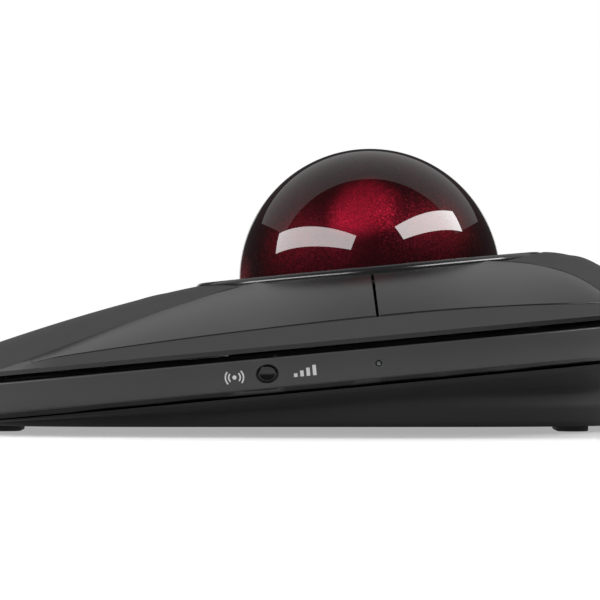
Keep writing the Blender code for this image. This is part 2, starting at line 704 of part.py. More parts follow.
def make_electronics():
    behind = Matrix.Translation((0, BALL_Y, 0))
    add_object("battery", rounded_box(BATTERY_LOW, BATTERY_HIGH, 2.0, 2), "foil", matrix=behind)
    plate = box((-24, 28, MAIN_Z), (24, 48, MAIN_Z + BOARD))
    plate_obj = add_object("main_board", plate, "board", matrix=behind)
    slot = box((-5.4, -2.4, 0), (5.4, 2.4, 10))
    combine(plate_obj, slot, "DIFFERENCE", matrix=Matrix.Translation((*MODE_PLACE, 0)))
    top = MAIN_Z + BOARD + 0.1
    add_object("radio_module", box((10, 32, top), (21, 44, top + 2.0)), "steel", matrix=behind)
    add_object("controller_chip", box((-20, 33, top), (-13, 40, top + 1.0)), "component", matrix=behind)
    make_usb_socket()
    make_mode_switch()


def main():
    slab = bpy.data.objects.new("slab_frame", None)
    bpy.context.scene.collection.objects.link(slab)
    slab.location = (0, SLAB_Y * MM, SLAB_Z * MM)
    slab.rotation_euler = (math.radians(TILT), 0, 0)
    make_covers(slab)
    make_ball(slab)
    make_cup(slab)
    make_ring(slab)
    make_band(slab)
    make_chassis(slab)
    make_switches(slab)
    make_side_controls(slab)
    make_base()
    make_feet_and_screws()
    make_electronics()


clear_scene()
MATERIALS = make_materials()
main()
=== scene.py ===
"""The looks of a wireless trackball mouse: fine shells, buttons, band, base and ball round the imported
CAD model, with procedural materials, a pale floor, soft lights and a side-on camera.

Shapes are made in millimetres and written in metres. Two frames are used:
  world  x, y, z
  slab   x, v, w: tilted about X by TILT, w = 0 on the side band's lower face, v = 0 on the ball's axis
"""

import math

import bmesh
import bpy
from mathutils import Matrix, Vector


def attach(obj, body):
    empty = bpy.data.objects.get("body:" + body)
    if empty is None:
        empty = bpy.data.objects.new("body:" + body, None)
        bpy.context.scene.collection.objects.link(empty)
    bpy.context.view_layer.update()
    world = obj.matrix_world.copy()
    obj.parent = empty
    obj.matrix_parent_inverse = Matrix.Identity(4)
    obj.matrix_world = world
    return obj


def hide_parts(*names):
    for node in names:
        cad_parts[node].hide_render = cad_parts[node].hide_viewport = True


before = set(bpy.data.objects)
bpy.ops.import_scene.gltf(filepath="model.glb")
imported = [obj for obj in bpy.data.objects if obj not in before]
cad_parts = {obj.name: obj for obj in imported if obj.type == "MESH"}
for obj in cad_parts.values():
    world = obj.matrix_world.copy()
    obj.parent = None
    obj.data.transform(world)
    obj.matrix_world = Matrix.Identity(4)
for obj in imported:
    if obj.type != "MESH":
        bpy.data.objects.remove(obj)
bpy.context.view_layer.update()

MM = 0.001

# The CAD model's driving dimensions, in millimetres and degrees
TILT = 5.35
BALL_R = 27.5
BALL_Y = 17.9
BALL_Z = 30.7
BALL_W = 19.8
HALF_WIDTH = 65.5
FRONT_V = -96.6
REAR_V = 57.8
OUTLINE_POWER = 5.0
BAND_HEIGHT = 6.07
GROOVE = 1.33
COVER_RIM = BAND_HEIGHT + GROOVE
COVER_EDGE = COVER_RIM + 0.9
COVER_WALL = 1.8
WING_WALL = 1.2
WING_SMOOTHING = 10.0  # how far the side surface is averaged along the body, at the ridge's corners
CORNER_REACH = 19.0  # how far from those corners that fades out
WING_SAMPLES = tuple(k / 5 for k in range(-4, 5))
CREST = 22.15
CREST_FRONT, FRONT_FALL, FRONT_POWER = -30.0, 0.0324, 1.425
CREST_REAR, REAR_FALL, REAR_POWER = 36.0, 0.0491, 1.774
RING_R = 36.75
RING_TOP = 22.3
RING_BOTTOM = 20.6
RING_BORE = BALL_R + 0.7
RING_LIP = 0.9  # radius of the ring's inner lip
RING_ROUND = 1.3  # radius of its outer shoulder
RING_SEAT = 20.9
SEAT_FADE = 13.0
JOIN_V = 23.5
FRONT_TIP_V = -77.0
REAR_TIP_V = 50.0
FRONT_HINGE_V = -69.0
REAR_HINGE_V = 45.0
SEAM_PEAK = 12.1  # the seam below the buttons is highest here
SEAM_PEAK_V = 8.0
SIDE_BUTTON_V = -22.8
SIDE_LIGHT_V = -0.8
SIDE_W = 3.0
SIDE_FACE_X = HALF_WIDTH - 0.25
BASE_Z = 1.2
FLOOR_Z = 2.7
PLINTH = 4.1
BASE_FRONT = -86.0
BASE_REAR = 57.0
BASE_HALF_WIDTH = 64.3
BASE_INSETS = {"bottom": 4.3, "edge": 3.6, "plinth": 2.9, "grip": 2.9, "lip": 0.35, "top": 0.0}
GRIP_START = 14.0
GRIP_FULL = 48.0
GRIP_DEPTH = 2.4
GRIP_LEVEL = 0.47  # the grip's deepest line, from the plinth (0) to the lip (1)
GRIP_INNER_X = 24.0  # the grip fades in across the corners, from here
GRIP_OUTER_X = 46.0  # to here
POCKET_HALF_X = 55.0  # the hollow inside the base
POCKET_HALF_Y = 60.0
POCKET_Y = -8.5
SWITCH_X = 42.0
SWITCH_V = 7.2
RIB_LOW = 15.6  # underside of the ribs that press the switches
SCREW_JOINT_Z = 5.8
SCREW_PLACES = {
    "front_left": (-38.0, -50.0),
    "front_right": (38.0, -50.0),
    "rear_left": (-42.0, 20.0),
    "rear_right": (42.0, 20.0),
}
FOOT_PLACES = {
    "front_left": (-38.0, -74.0, 18.0),
    "front_right": (38.0, -74.0, 18.0),
    "rear_left": (-38.0, 40.0, 22.0),
    "rear_right": (38.0, 40.0, 22.0),
}
FOOT_DEPTH = 6.4
USB_HALF = (4.45, 1.6)
USB_Y = BALL_Y + BASE_REAR - 3.2
USB_Z = 8.3
MODE_PLACE = (0.0, BALL_Y + 40.0)


# Finer than the CAD model
SEAM = 0.28  # width of the seams between the covers, the buttons and the rim
SIDE_SEAM = 0.55  # between the buttons and the rim below them
BUTTON_SEAM = 0.5
HINGE_SEAM = 0.08
HOLE_R = RING_R + 0.35
SIDE_HOLE_R = 2.2
LIGHT_HOLE_R = 0.65
MARK_THICK = 0.03

# Bright patches on the ball's red: the first is a painted glow standing for light gathered under the clear
# skin, the rest are pearl clouds in the resin; each is a direction from the ball's centre, and a reach in
# metres
GLOW_AND_PEARL_CLOUDS = (
    ((0.83, -0.05, 0.56), 0.0125),
    ((-0.55, -0.65, 0.52), 0.017),
    ((-0.45, 0.75, 0.48), 0.015),
    ((0.1, 0.2, -0.97), 0.018),
    ((0.15, -0.98, -0.1), 0.014),
)
CLOUD_CORE = 0.004  # metres from a cloud's middle to where it starts to fade
CLOUD_FRAY = 0.006  # metres that noise moves its edge by
FLAKES = 4400.0  # flakes a metre
FLAKE_TURN = 0.17  # how far a flake tips the surface's normal

CAMERA_AT = (1.0, 0.0032, 0.02635)
CAMERA_LENS = 285.0
CEILING = 0.93

# Upright lights: the middles of the two upright ends, in metres from the ball, then height and radiance
PANELS = {
    "left_front": ((-0.14, -1.19, 0.475), (0.99, -0.26, 0.61), 0.28, 9.0),
    "right_front": ((0.80, 0.467, 0.75), (-0.30, 0.968, 0.634), 0.26, 12.0),
    "floor_wash": ((-1.3, -1.6, 0.5), (-1.3, 1.6, 0.5), 0.85, 22.0),
    "backdrop": ((-1.3, -0.35, 0.1), (-1.3, 0.35, 0.1), 0.2, 0.8),
}
FLOOR_RADIUS = 1.2
FLOOR_GLOW = (0.38, 1.0)  # the light that the floor gives off by the object and far from it
FLOOR_FADE = (0.22, 0.6)  # the distances over which that changes

SIN = math.sin(math.radians(TILT))
COS = math.cos(math.radians(TILT))
SLAB_Y = BALL_Y + BALL_W * SIN
SLAB_Z = BALL_Z - BALL_W * COS
SLAB = Matrix.Translation((0, SLAB_Y, SLAB_Z)) @ Matrix.Rotation(math.radians(TILT), 4, "X")
WORLD = Matrix.Identity(4)
OVAL = Matrix.Diagonal((0.86, 1.04, 1, 1))  # the side button is a little wider than high
MID_V = (FRONT_V + REAR_V) / 2
HALF_LENGTH = (REAR_V - FRONT_V) / 2


# Materials


def add_node(tree, kind, inputs=None, **settings):
    """A new node with its properties set, and its inputs given as values or as sockets to link from."""
    node = tree.nodes.new(kind)
    for name, value in settings.items():
        setattr(node, name, value)
    for name, value in (inputs or {}).items():
        if isinstance(value, bpy.types.NodeSocket):
            tree.links.new(value, node.inputs[name])
        else:
            node.inputs[name].default_value = value
    return node


def new_material(name, **sockets):
    material = bpy.data.materials.new(name)
    material.use_nodes = True
    shader = material.node_tree.nodes["Principled BSDF"]
    for socket, value in sockets.items():
        shader.inputs[socket.replace("_", " ")].default_value = value
    return material, material.node_tree, shader


def grain(tree, scale, detail=2.0):
    """Noise of that many cells a metre, fixed to the object."""
    place = add_node(tree, "ShaderNodeTexCoord").outputs["Object"]
    noise = add_node(tree, "ShaderNodeTexNoise", {"Vector": place, "Scale": scale, "Detail": detail})
    return noise.outputs["Fac"]


def ramp(tree, factor, low, high, low_colour, high_colour):
    node = add_node(tree, "ShaderNodeValToRGB", {"Fac": factor})
    for element, place, colour in zip(node.color_ramp.elements, (low, high), (low_colour, high_colour)):
        element.position = place
        element.color = (*colour, 1.0)
    return node.outputs["Color"]


def spread_range(tree, factor, low, high):
    return add_node(tree, "ShaderNodeMapRange", {"Value": factor, "To Min": low, "To Max": high}).outputs[0]


def bump(tree, height, distance, strength):
    return add_node(
        tree, "ShaderNodeBump", {"Height": height, "Distance": distance, "Strength": strength}
    ).outputs["Normal"]


def moulded(name, colour, roughness, texture=3500.0, depth=0.00002, strength=0.25, **sockets):
    """Moulded plastic: a fine spark-eroded texture, slow flow variation in tone and in gloss."""
    material, tree, shader = new_material(name, **sockets)
    flow = grain(tree, 45.0)
    low = tuple(c * 0.93 for c in colour)
    high = tuple(c * 1.07 for c in colour)
    links = tree.links
    links.new(ramp(tree, flow, 0.35, 0.65, low, high), shader.inputs["Base Color"])
    links.new(spread_range(tree, grain(tree, 260.0), *roughness), shader.inputs["Roughness"])
    links.new(bump(tree, grain(tree, texture), depth, strength), shader.inputs["Normal"])
    return material


def glow_and_pearl_nearness(tree, place, cloud):
    """0 to 1: how near a point is to one of the bright patches, frayed by noise: the first patch is a
    painted glow, the rest are pearl clouds in the resin.
    """
    centre = Vector((0, BALL_Y, BALL_Z)) * MM
    total = None
    for way, reach in GLOW_AND_PEARL_CLOUDS:
        middle = centre + Vector(way).normalized() * BALL_R * MM
        away = add_node(tree, "ShaderNodeVectorMath", {0: place, 1: middle}, operation="DISTANCE")
        terms = {0: cloud, 1: CLOUD_FRAY, 2: away.outputs["Value"]}
        frayed = add_node(tree, "ShaderNodeMath", terms, operation="MULTIPLY_ADD")
        ends = {"From Min": CLOUD_CORE, "From Max": reach, "To Min": 1.0, "To Max": 0.0}
        near = add_node(
            tree,
            "ShaderNodeMapRange",
            {"Value": frayed.outputs[0], **ends},
            interpolation_type="SMOOTHERSTEP",
        ).outputs[0]
        if total is not None:
            near = add_node(tree, "ShaderNodeMath", {0: total, 1: near}, operation="MAXIMUM").outputs[0]
        total = near
    return total


def pearl_ball():
    """Deep red resin with bright patches, the first a painted glow and the rest pearl clouds, and fine
    flakes under a clear gloss skin.
    """
    material, tree, shader = new_material(
        "ball_pearl", Metallic=0.9, Roughness=0.42, Coat_Weight=1.0, Coat_Roughness=0.012, Coat_IOR=1.5
    )
    shader.inputs["Specular Tint"].default_value = (0.02, 0.0, 0.0, 1.0)
    links = tree.links
    place = add_node(tree, "ShaderNodeTexCoord").outputs["Object"]
    noise = add_node(tree, "ShaderNodeTexNoise", {"Vector": place, "Scale": 110.0, "Detail": 4.0})
    cloud = noise.outputs["Fac"]
    flakes = add_node(tree, "ShaderNodeTexVoronoi", {"Vector": place, "Scale": FLAKES}).outputs["Color"]
    # Bright patches: the first is a painted glow on the upper front of the ball, the rest are pearl clouds
    # in the resin
    glow_and_pearl_share = glow_and_pearl_nearness(tree, place, cloud)
    resin = ramp(tree, cloud, 0.3, 0.75, (0.020, 0.0012, 0.0025), (0.042, 0.0016, 0.0045))
    glow_and_pearl_red = ramp(tree, cloud, 0.3, 0.75, (0.30, 0.007, 0.024), (0.42, 0.013, 0.04))
    body = add_node(tree, "ShaderNodeMix", {"Factor": glow_and_pearl_share}, data_type="RGBA")
    links.new(resin, body.inputs["A"])
    links.new(glow_and_pearl_red, body.inputs["B"])
    spark = ramp(tree, flakes, 0.5, 0.95, (0.85, 0.85, 0.85), (1.8, 1.5, 1.55))
    mixed = add_node(tree, "ShaderNodeMix", {"Factor": 1.0}, data_type="RGBA", blend_type="MULTIPLY")
    links.new(body.outputs["Result"], mixed.inputs["A"])
    links.new(spark, mixed.inputs["B"])
    links.new(mixed.outputs["Result"], shader.inputs["Base Color"])
    normal = add_node(tree, "ShaderNodeNewGeometry").outputs["Normal"]
    jitter = add_node(tree, "ShaderNodeVectorMath", {0: flakes, 1: (0.5, 0.5, 0.5)}, operation="SUBTRACT")
    scaled = {0: jitter.outputs[0], "Scale": FLAKE_TURN}
    small = add_node(tree, "ShaderNodeVectorMath", scaled, operation="SCALE")
    tipped = add_node(tree, "ShaderNodeVectorMath", {0: normal, 1: small.outputs[0]}, operation="ADD")
    unit = add_node(tree, "ShaderNodeVectorMath", {0: tipped.outputs[0]}, operation="NORMALIZE")
    links.new(unit.outputs[0], shader.inputs["Normal"])
    return material


def metal(name, colour, roughness, texture=2500.0):
    return moulded(name, colour, roughness, texture, 0.00001, 0.2, Metallic=1.0)


def circuit():
    """Green solder mask over copper traces."""
    material, tree, shader = new_material(
        "circuit_mask", Roughness=0.35, Coat_Weight=0.4, Coat_Roughness=0.2
    )
    place = add_node(tree, "ShaderNodeTexCoord").outputs["Object"]
    traces = add_node(
        tree, "ShaderNodeTexBrick", {"Vector": place, "Scale": 420.0, "Mortar Size": 0.03}, offset=0.35
    )
    traces.inputs["Color1"].default_value = (0.008, 0.085, 0.03, 1)
    traces.inputs["Color2"].default_value = (0.012, 0.11, 0.04, 1)
    traces.inputs["Mortar"].default_value = (0.03, 0.2, 0.08, 1)
    tree.links.new(traces.outputs["Color"], shader.inputs["Base Color"])
    tree.links.new(bump(tree, grain(tree, 1500.0), 0.00002, 0.2), shader.inputs["Normal"])
    return material


def clear_part():
    material, tree, shader = new_material("clear_moulding", Transmission_Weight=0.9, IOR=1.5, Alpha=1.0)
    tree.links.new(spread_range(tree, grain(tree, 300.0), 0.03, 0.08), shader.inputs["Roughness"])
    tint = ramp(tree, grain(tree, 90.0), 0.3, 0.7, (0.8, 0.83, 0.85), (0.9, 0.92, 0.93))
    tree.links.new(tint, shader.inputs["Base Color"])
    return material


def make_materials():
    return {
        "cover": moulded("soft_touch", (0.020, 0.020, 0.021), (0.52, 0.6), 4200.0, 0.00003, 0.35,
                         Specular_IOR_Level=0.35),
        "shell": moulded("satin_gloss", (0.012, 0.012, 0.0125), (0.17, 0.22), 1200.0, 0.000006, 0.1),
        "band": moulded("band_satin", (0.034, 0.034, 0.035), (0.34, 0.4), 3200.0, 0.00002, 0.25),
        "black": moulded("black_gloss", (0.004, 0.004, 0.004), (0.12, 0.2), 900.0, 0.000006, 0.1),
        "base": moulded("base_texture", (0.028, 0.028, 0.0285), (0.6, 0.68), 3800.0, 0.00003, 0.4,
                        Specular_IOR_Level=0.1),
        "ring": moulded("ring_polish", (0.014, 0.014, 0.015), (0.15, 0.19), 900.0, 0.000003, 0.05),
        "ball": pearl_ball(),
        "rubber": moulded("foot_rubber", (0.02, 0.02, 0.02), (0.75, 0.9), 2600.0, 0.00004, 0.5),
        "component": moulded("component_black", (0.02, 0.02, 0.022), (0.4, 0.5), 3000.0),
        "ceramic": moulded("ceramic_white", (0.82, 0.82, 0.79), (0.1, 0.16), 1500.0, 0.000004, 0.1),
        "plunger": moulded("plunger_nylon", (0.72, 0.71, 0.66), (0.35, 0.45), 2600.0),
        "print": moulded("pad_print", (0.50, 0.50, 0.50), (0.5, 0.6), 5000.0),
        "foil": moulded("battery_foil", (0.35, 0.36, 0.38), (0.3, 0.45), 700.0, 0.0001, 0.4, Metallic=0.6),
        "steel": metal("plated_steel", (0.55, 0.55, 0.57), (0.25, 0.35)),
        "board": circuit(),
        "clear": clear_part(),
    }


# Mesh helpers


def spread(start, stop, count):
    return [start + (stop - start) * k / (count - 1) for k in range(count)]


def piece(
    name, bm, body, material, stands_for=(), matrix=SLAB, bevel=0.0, angle=38.0, keep_sharp=None
):
    """Writes bm, in its frame's millimetres, as a piece that rides on a body, with its sharp edges rounded.

    keep_sharp(a, b) says which edges, by their ends in the piece's own frame, stay unrounded."""
    bm.normal_update()
    bmesh.ops.recalc_face_normals(bm, faces=bm.faces[:])
    if bevel:
        weights = bm.edges.layers.float.new("bevel_weight_edge")
        for edge in bm.edges:
            sharp = edge.is_manifold and edge.calc_face_angle() > math.radians(angle)
            if sharp and not (keep_sharp and keep_sharp(edge.verts[0].co, edge.verts[1].co)):
                edge[weights] = 1.0
    bm.transform(Matrix.Scale(MM, 4) @ matrix)
    mesh = bpy.data.meshes.new(name)
    bm.to_mesh(mesh)
    bm.free()
    mesh.shade_smooth()
    mesh.set_sharp_from_angle(angle=math.radians(angle))
    mesh.materials.append(material)
    obj = bpy.data.objects.new(name, mesh)
    bpy.context.scene.collection.objects.link(obj)
    if bevel:
        rounding = obj.modifiers.new("rounding", "BEVEL")
        rounding.limit_method = "WEIGHT"
        rounding.width = bevel * MM
        rounding.segments = 3
        rounding.harden_normals = True
    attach(obj, body)
    if stands_for:
        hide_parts(*stands_for)
    return obj


def combine(obj, bm, operation, matrix=SLAB):
    """Joins bm to obj, or cuts it from obj, and applies the result before obj's rounding."""
    bm.normal_update()
    bmesh.ops.recalc_face_normals(bm, faces=bm.faces[:])
    bm.transform(Matrix.Scale(MM, 4) @ matrix)
    mesh = bpy.data.meshes.new(f"{obj.name}_tool")
    bm.to_mesh(mesh)
    bm.free()
    helper = bpy.data.objects.new(f"{obj.name}_tool", mesh)
    bpy.context.scene.collection.objects.link(helper)
    modifier = obj.modifiers.new("combine", "BOOLEAN")
    modifier.operation = operation
    modifier.object = helper
    evaluated = obj.evaluated_get(bpy.context.evaluated_depsgraph_get())
    result = bpy.data.meshes.new_from_object(evaluated)
    obj.modifiers.remove(modifier)
    old = obj.data
    obj.data = result
    bpy.data.meshes.remove(old)
    bpy.data.objects.remove(helper)
    bpy.data.meshes.remove(mesh)


def box(low, high):
    bm = bmesh.new()
    size = [h - l for l, h in zip(low, high)]
    middle = [(l + h) / 2 for l, h in zip(low, high)]
    bmesh.ops.create_cube(bm, size=1.0, matrix=Matrix.Translation(middle) @ Matrix.Diagonal((*size, 1)))
    return bm


def rounded_box(low, high, radius, steps=6):
    """A box whose four upright edges are rounded."""
    bm = box(low, high)
    upright = [e for e in bm.edges if abs(e.verts[0].co.z - e.verts[1].co.z) > 1e-6]
    bmesh.ops.bevel(bm, geom=upright, offset=radius, segments=steps, affect="EDGES", profile=0.5)
    return bm


def turned(profile, steps, closed=True):
    """A profile of (radius, height) points spun about Z. An open profile starts and ends on the axis."""
    bm = bmesh.new()
    points = [bm.verts.new((r, 0, z)) for r, z in profile]
    pairs = list(zip(points, points[1:])) + ([(points[-1], points[0])] if closed else [])
    edges = [bm.edges.new(pair) for pair in pairs]
    bmesh.ops.spin(
        bm, geom=points + edges, cent=(0, 0, 0), axis=(0, 0, 1), angle=math.tau, steps=steps, use_merge=True
    )
    bmesh.ops.remove_doubles(bm, verts=bm.verts[:], dist=1e-4)
    return bm


def rod(radius, low, high, steps=48):
    return turned([(0, low), (radius, low), (radius, high), (0, high)], steps, closed=False)


def loft(loops, ring):
    """Closed loops joined in order. A ring joins the last to the first, else both are capped."""
    bm = bmesh.new()
    rows = [[bm.verts.new(p) for p in loop] for loop in loops]
    for low, high in zip(rows, rows[1:] + rows[:1] if ring else rows[1:]):
        for i in range(len(low)):
            j = (i + 1) % len(low)
            bm.faces.new((low[i], low[j], high[j], high[i]))
    if not ring:
        bm.faces.new(rows[0])
        bm.faces.new(rows[-1])
    return bm


def sheet(rows, leave_out=lambda i, j: False):
    """An open surface through a grid of points."""
    bm = bmesh.new()
    grid = [[bm.verts.new(p) for p in row] for row in rows]
    for i in range(len(grid) - 1):
        for j in range(len(grid[i]) - 1):
            if not leave_out(i, j):
                bm.faces.new((grid[i][j], grid[i][j + 1], grid[i + 1][j + 1], grid[i + 1][j]))
    bmesh.ops.delete(bm, geom=[v for v in bm.verts if not v.link_faces], context="VERTS")
    return bm


def thicken(bm, wall):
    """Gives an open surface its wall, downwards, no lower than the covers' rim."""
    made = bmesh.ops.extrude_face_region(bm, geom=bm.faces[:])
    for item in made["geom"]:
        if isinstance(item, bmesh.types.BMVert):
            item.co.z = max(item.co.z - wall, COVER_RIM)
    return bm


def sideways(x, v, w=SIDE_W):
    """Stands a Z-up shape along +X at a point of the slab frame."""
    return SLAB @ Matrix.Translation((x, v, w)) @ Matrix.Rotation(math.radians(90), 4, "Y")


# The body's outline and top surface, in the slab frame


def superellipse(half_x, half_v, mid_v, power, count, start=0.0, stop=360.0):
    """count points evenly spaced along a superellipse between two angles; 0 is +X and 90 the rear."""
    steps = 4 * count
    dense = []
    for k in range(steps + 1):
        angle = math.radians(start + (stop - start) * k / steps)
        c, s = math.cos(angle), math.sin(angle)
        x = half_x * math.copysign(abs(c) ** (2 / power), c)
        dense.append((x, mid_v + half_v * math.copysign(abs(s) ** (2 / power), s)))
    lengths = [0.0]
    for a, b in zip(dense, dense[1:]):
        lengths.append(lengths[-1] + math.dist(a, b))
    whole = stop - start >= 360
    points, k = [], 0
    for i in range(count):
        target = lengths[-1] * i / (count if whole else count - 1)
        while k < steps - 1 and lengths[k + 1] < target:
            k += 1
        share = min(1.0, (target - lengths[k]) / max(lengths[k + 1] - lengths[k], 1e-9))
        points.append(tuple(p + (q - p) * share for p, q in zip(dense[k], dense[k + 1])))
    return points


def body_outline(inset, count=360):
    return superellipse(HALF_WIDTH - inset, HALF_LENGTH - inset, MID_V, OUTLINE_POWER, count)


def half_width(v):
    share = min(1.0, abs(v - MID_V) / HALF_LENGTH)
    return HALF_WIDTH * (1 - share**OUTLINE_POWER) ** (1 / OUTLINE_POWER)


def outline_angle(v):
    """The superellipse angle of the right-hand outline point at v."""
    share = (v - MID_V) / HALF_LENGTH
    c = (1 - abs(share) ** OUTLINE_POWER) ** 0.5
    s = math.copysign(abs(share) ** (OUTLINE_POWER / 2), share)
    return math.degrees(math.atan2(s, c))


def crest(v):
    """Height of the middle of the top: level by the ball, falling slowly to the front and fast behind."""
    if v < CREST_FRONT:
        return CREST - FRONT_FALL * (CREST_FRONT - v) ** FRONT_POWER
    if v > CREST_REAR:
        return CREST - REAR_FALL * (v - CREST_REAR) ** REAR_POWER
    return CREST


def cover_height(x, v):
    """Height of the crowned middle surface, flattened beside the ring."""
    width = half_width(v)
    share = min(1.0, abs(x) / width) if width > 1e-6 else 1.0
    height = COVER_EDGE + (crest(v) - COVER_EDGE) * (1 - share**2.5)
    near = min(1.0, max(0.0, 1 - (math.hypot(x, v) - HOLE_R) / SEAT_FADE))
    return height + max(0.0, RING_SEAT - height) * near * near * (3 - 2 * near)


def ridge_x(v):
    """Half width of the crowned middle: the inner edge of the buttons."""
    if abs(v) <= JOIN_V:
        return math.sqrt(HOLE_R**2 - v * v)
    start = math.sqrt(HOLE_R**2 - JOIN_V**2)
    tip_v, power = (FRONT_TIP_V, 1.12) if v < 0 else (REAR_TIP_V, 1.7)
    share = min(1.0, (abs(v) - JOIN_V) / (abs(tip_v) - JOIN_V))
    return start + (half_width(tip_v) - start) * share**power


def seam_height(v):
    """Height of the seam between the buttons and the rim below them."""
    return SEAM_PEAK - (0.0004 if v < SEAM_PEAK_V else 0.0012) * (v - SEAM_PEAK_V) ** 2


def seam_x(v):
    return half_width(v) - 1.9 * (seam_height(v) - COVER_EDGE)


def wing_lines(v):
    """Across the side at v: the ridge's x and height, then the seam's."""
    ridge, edge = ridge_x(v), half_width(v)
    top = cover_height(ridge, v)
    seam = max(seam_x(v), ridge + 0.5 * (edge - ridge))
    return ridge, top, seam, min(seam_height(v), COVER_EDGE + 0.5 * (top - COVER_EDGE))


def wing_fall(x, v):
    """Height of the crowned side surface at x, carried on straight beyond its ridge."""
    ridge, top, seam, seam_top = wing_lines(v)
    share = min(1.0, (x - ridge) / (seam - ridge))
    return top + (seam_top - top) * (0.72 * share + 0.28 * share * max(0.0, share))


def wing_point(v, share):
    """A point of the side surface: share 0 on the ridge, 1 on the seam, 2 on the outer edge."""
    ridge, top, seam, seam_top = wing_lines(v)
    if share > 1:
        beyond = share - 1
        return seam + (half_width(v) - seam) * beyond, v, seam_top + (COVER_EDGE - seam_top) * beyond
    x = ridge + (seam - ridge) * share
    reach = WING_SMOOTHING * max(0.0, 1 - ((abs(v) - JOIN_V) / CORNER_REACH) ** 2)
    reach = min(reach, v - FRONT_TIP_V, REAR_TIP_V - v)
    weights = [1 - t * t for t in WING_SAMPLES]
    smooth = sum(k * wing_fall(x, v + t * reach) for k, t in zip(weights, WING_SAMPLES)) / sum(weights)
    own = wing_fall(x, v)
    return x, v, own + (smooth - own) * (1 - share**4)


# Covers, buttons and rims


def middle_cover(rear, columns, rows):
    """The crowned cover in front of or behind the ball, from the ring's edge to the outline."""
    tip_v = REAR_TIP_V if rear else FRONT_TIP_V
    sign = 1 if rear else -1
    side = math.degrees(math.acos(JOIN_V / HOLE_R))
    tip = outline_angle(tip_v)
    ends = (tip, 180 - tip) if rear else (180 - tip - 360, tip)
    edge = superellipse(HALF_WIDTH, HALF_LENGTH, MID_V, OUTLINE_POWER, columns, min(ends), max(ends))
    edge.sort(key=lambda p: p[0])
    grid = []
    for r in (1 - (1 - t) ** 1.5 for t in spread(0, 1, rows)):  # closer rows where the edge rolls down
        ridge_v = sign * JOIN_V + (tip_v - sign * JOIN_V) * r
        straight = ridge_x(JOIN_V) + (half_width(tip_v) - ridge_x(JOIN_V)) * r
        row = []
        for k, q in enumerate(spread(-1, 1, columns)):
            angle = math.radians(side * q)
            inner = (HOLE_R * math.sin(angle), sign * HOLE_R * math.cos(angle))
            x = inner[0] + (edge[k][0] - inner[0]) * r + q * (ridge_x(ridge_v) - straight - SEAM)
            v = inner[1] + (edge[k][1] - inner[1]) * r
            row.append((x, v, COVER_EDGE if r == 1 else cover_height(x, v)))
        grid.append(row)
    return thicken(sheet(grid), COVER_WALL)


def wing_rows(stations, shares, side, outer_gap=0.0):
    rows = []
    for v in stations:
        row = []
        ridge, _, seam, _ = wing_lines(v)
        trim = 1 - outer_gap / (seam - ridge)
        for share in shares:
            x, _, w = wing_point(v, share * trim)
            row.append((side * x, v, w))
        rows.append(row)
    return rows


def button(side, rear):
    if rear:
        stations = spread(BUTTON_SEAM / 2, JOIN_V, 28) + spread(JOIN_V, REAR_HINGE_V, 26)[1:]
    else:
        stations = spread(FRONT_HINGE_V, -JOIN_V, 48) + spread(-JOIN_V, -BUTTON_SEAM / 2, 28)[1:]
    return thicken(sheet(wing_rows(stations, spread(0, 1, 26), side, SIDE_SEAM)), WING_WALL)


def side_rim(side):
    """The glossy rim outside the buttons, with the tips that the buttons hinge from."""
    front = spread(FRONT_TIP_V + 0.8, FRONT_HINGE_V - HINGE_SEAM, 12)
    rear = spread(REAR_HINGE_V + HINGE_SEAM, REAR_TIP_V - 0.6, 8)
    middle = spread(front[-1], rear[0], 120)[1:-1]
    inside = spread(0, 1, 14)
    rows = wing_rows(front + middle + rear, inside + spread(1, 2, 10)[1:], side)
    first, last = len(front) - 1, len(front) + len(middle)

    def button_place(i, j):
        return j < len(inside) - 1 and first <= i < last

    return thicken(sheet(rows, button_place), WING_WALL)


def make_covers():
    for name, rear, columns, rows in (("palm_rest_cover", False, 121, 76), ("rear_cover", True, 111, 40)):
        piece(name + "_fine", middle_cover(rear, columns, rows), "casing",
              MATERIALS["cover"], (name,), bevel=0.22)
    for side, hand in ((-1, "left"), (1, "right")):
        name = f"{hand}_side_rim"
        piece(name + "_fine", side_rim(side), "casing", MATERIALS["shell"], (name,),
              bevel=0.2, keep_sharp=on_hinge)
        for rear in (False, True):
            name = f"{'rear' if rear else 'front'}_{hand}_button"
            piece(name + "_fine", button(side, rear), name, MATERIALS["shell"], (name,),
                  bevel=0.2, keep_sharp=on_hinge)
            rib_x, rib_v = side * SWITCH_X, SWITCH_V if rear else -SWITCH_V
            high = wing_point(rib_v, 0.3)[2] - 0.9
            rib = box((rib_x - 1.5, rib_v - 1.5, RIB_LOW), (rib_x + 1.5, rib_v + 1.5, high))
            piece(name + "_rib", rib, name, MATERIALS["shell"], bevel=0.25)


def on_hinge(a, b):
    """True for the edges along which a button bends from the rim's tip."""
    return any(abs(a.y - v) < 0.2 and abs(b.y - v) < 0.2 for v in (FRONT_HINGE_V, REAR_HINGE_V))


# Ball and ring


def make_ball():
    bm = bmesh.new()
    bmesh.ops.create_uvsphere(bm, u_segments=160, v_segments=80, radius=BALL_R)
    piece("ball_fine", bm, "ball", MATERIALS["ball"], ("ball",),
          SLAB @ Matrix.Translation((0, 0, BALL_W)))


def make_ring():
    bore = [(RING_BORE, RING_BOTTOM), (RING_BORE, RING_TOP - 1.0)]
    lip = [
        (RING_BORE + RING_LIP * (1 - math.cos(a)), RING_TOP - RING_LIP * (1 - math.sin(a)))
        for a in spread(0.2, 1.57, 9)
    ]
    shoulder = [
        (RING_R - RING_ROUND * (1 - math.sin(a)), RING_TOP - RING_ROUND * (1 - math.cos(a)))
        for a in spread(0, 1.57, 16)
    ]
    piece("ball_ring_fine", turned(bore + lip + shoulder + [(RING_R, RING_BOTTOM)], 256), "casing",
          MATERIALS["ring"], ("ball_ring",), angle=50)


# Band, button, light and printed marks


